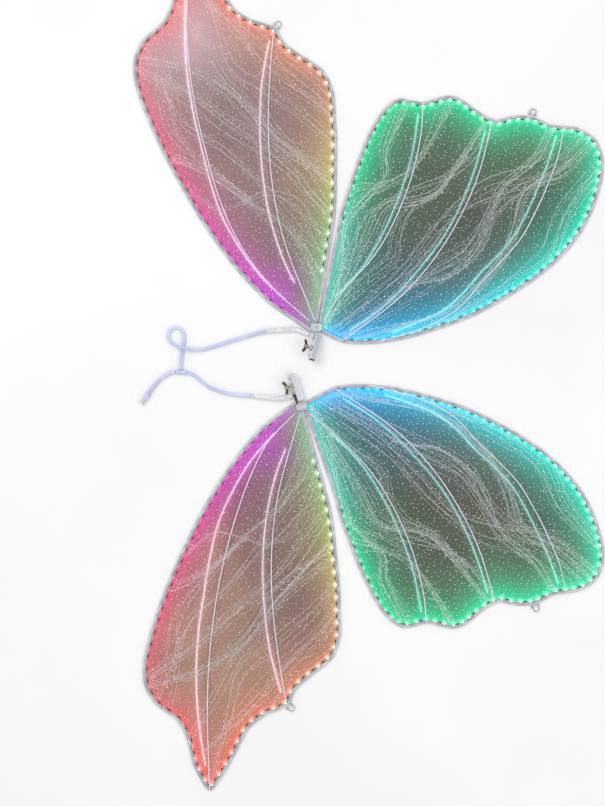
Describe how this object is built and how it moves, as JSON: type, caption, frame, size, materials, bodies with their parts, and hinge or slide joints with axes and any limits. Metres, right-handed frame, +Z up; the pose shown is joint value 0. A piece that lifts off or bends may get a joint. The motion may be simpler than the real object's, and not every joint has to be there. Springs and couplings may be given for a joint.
{
  "type": "fairy wings",
  "caption": "Pair of light-up fairy wings laid flat: wire-framed film panels, edge light strips, socket tubes with wing screws and a joined lead.",
  "frame": {"origin": "centre of the footprint of both halves without the leads, on the ground the wings lie on", "axes": "+Z up from the ground, +X towards the wearer's head, +Y towards the tip of the left half"},
  "size_m": [0.8484, 1.5144, 0.03],
  "materials": {
    "sleeved_wire": "satin",
    "led_strip": "matte",
    "fore_film": "glossy translucent",
    "hind_film": "glossy translucent",
    "front_rod": "satin",
    "back_rod": "satin",
    "aluminium": "brushed",
    "solder": "dull",
    "silver_steel": "satin",
    "old_brass": "antique",
    "tape": "wrinkled matt",
    "lead": "satin",
    "led_lens": "lit",
    "chip_black": "matte",
    "vein_print": "printed"
  },
  "bodies": {
    "left_half": {"left_clamp_boss": "silver_steel", "left_fore_back_rib_1": "back_rod", "left_fore_back_rib_2": "back_rod", "left_fore_back_rib_3": "back_rod", "left_fore_eyelet": "silver_steel", "left_fore_film": "fore_film", "left_fore_frame": "sleeved_wire", "left_fore_front_rib_1": "front_rod", "left_fore_front_rib_2": "front_rod", "left_fore_front_rib_3": "front_rod", "left_fore_led_strip": "led_strip", "left_hind_back_rib_1": "back_rod", "left_hind_back_rib_2": "back_rod", "left_hind_eyelet": "silver_steel", "left_hind_film": "hind_film", "left_hind_frame": "sleeved_wire", "left_hind_front_rib_1": "front_rod", "left_hind_front_rib_2": "front_rod", "left_hind_led_strip": "led_strip", "left_root_gusset": "solder", "left_socket_tube": "aluminium", "left_tape_sleeve": "tape", "upper_lead": "lead"},
    "right_half": {"lead_splice": "lead", "lower_lead": "lead", "plug_barrel": "silver_steel", "plug_body": "lead", "right_clamp_boss": "silver_steel", "right_fore_back_rib_1": "back_rod", "right_fore_back_rib_2": "back_rod", "right_fore_back_rib_3": "back_rod", "right_fore_eyelet": "silver_steel", "right_fore_film": "fore_film", "right_fore_frame": "sleeved_wire", "right_fore_front_rib_1": "front_rod", "right_fore_front_rib_2": "front_rod", "right_fore_front_rib_3": "front_rod", "right_fore_led_strip": "led_strip", "right_hind_back_rib_1": "back_rod", "right_hind_back_rib_2": "back_rod", "right_hind_eyelet": "silver_steel", "right_hind_film": "hind_film", "right_hind_frame": "sleeved_wire", "right_hind_front_rib_1": "front_rod", "right_hind_front_rib_2": "front_rod", "right_hind_led_strip": "led_strip", "right_root_gusset": "solder", "right_socket_tube": "aluminium", "right_tape_sleeve": "tape", "tail_lead": "lead"},
    "left_stud": {"left_clamp_stud": "silver_steel"},
    "left_wings": {"left_clamp_wings": "old_brass"},
    "right_stud": {"right_clamp_stud": "silver_steel"},
    "right_wings": {"right_clamp_wings": "old_brass"}
  },
  "joints": [
    {"name": "halves_apart", "type": "slide", "parent": "left_half", "child": "right_half", "axis": [0, -1, 0], "range_m": [0, 0.06]},
    {"name": "left_screw_feed", "type": "slide", "parent": "left_half", "child": "left_stud", "axis": [0.876, -0.3229, -0.3582], "range_m": [0, 0.004]},
    {"name": "left_screw_turn", "type": "hinge", "parent": "left_stud", "child": "left_wings", "pos_m": [-0.11001, 0.04071, 0.02163], "axis": [0.876, -0.3229, -0.3582], "range_deg": [0, 1800]},
    {"name": "right_screw_feed", "type": "slide", "parent": "right_half", "child": "right_stud", "axis": [0.8804, 0.2914, -0.3741], "range_m": [0, 0.004]},
    {"name": "right_screw_turn", "type": "hinge", "parent": "right_stud", "child": "right_wings", "pos_m": [-0.14448, -0.03127, 0.01498], "axis": [0.8804, 0.2914, -0.3741], "range_deg": [0, 1800]}
  ],
  "couplings": [
    {"joint": "left_screw_feed", "follows": "left_screw_turn", "m_per_rad": 0.00012732},
    {"joint": "right_screw_feed", "follows": "right_screw_turn", "m_per_rad": 0.00012732}
  ]
}
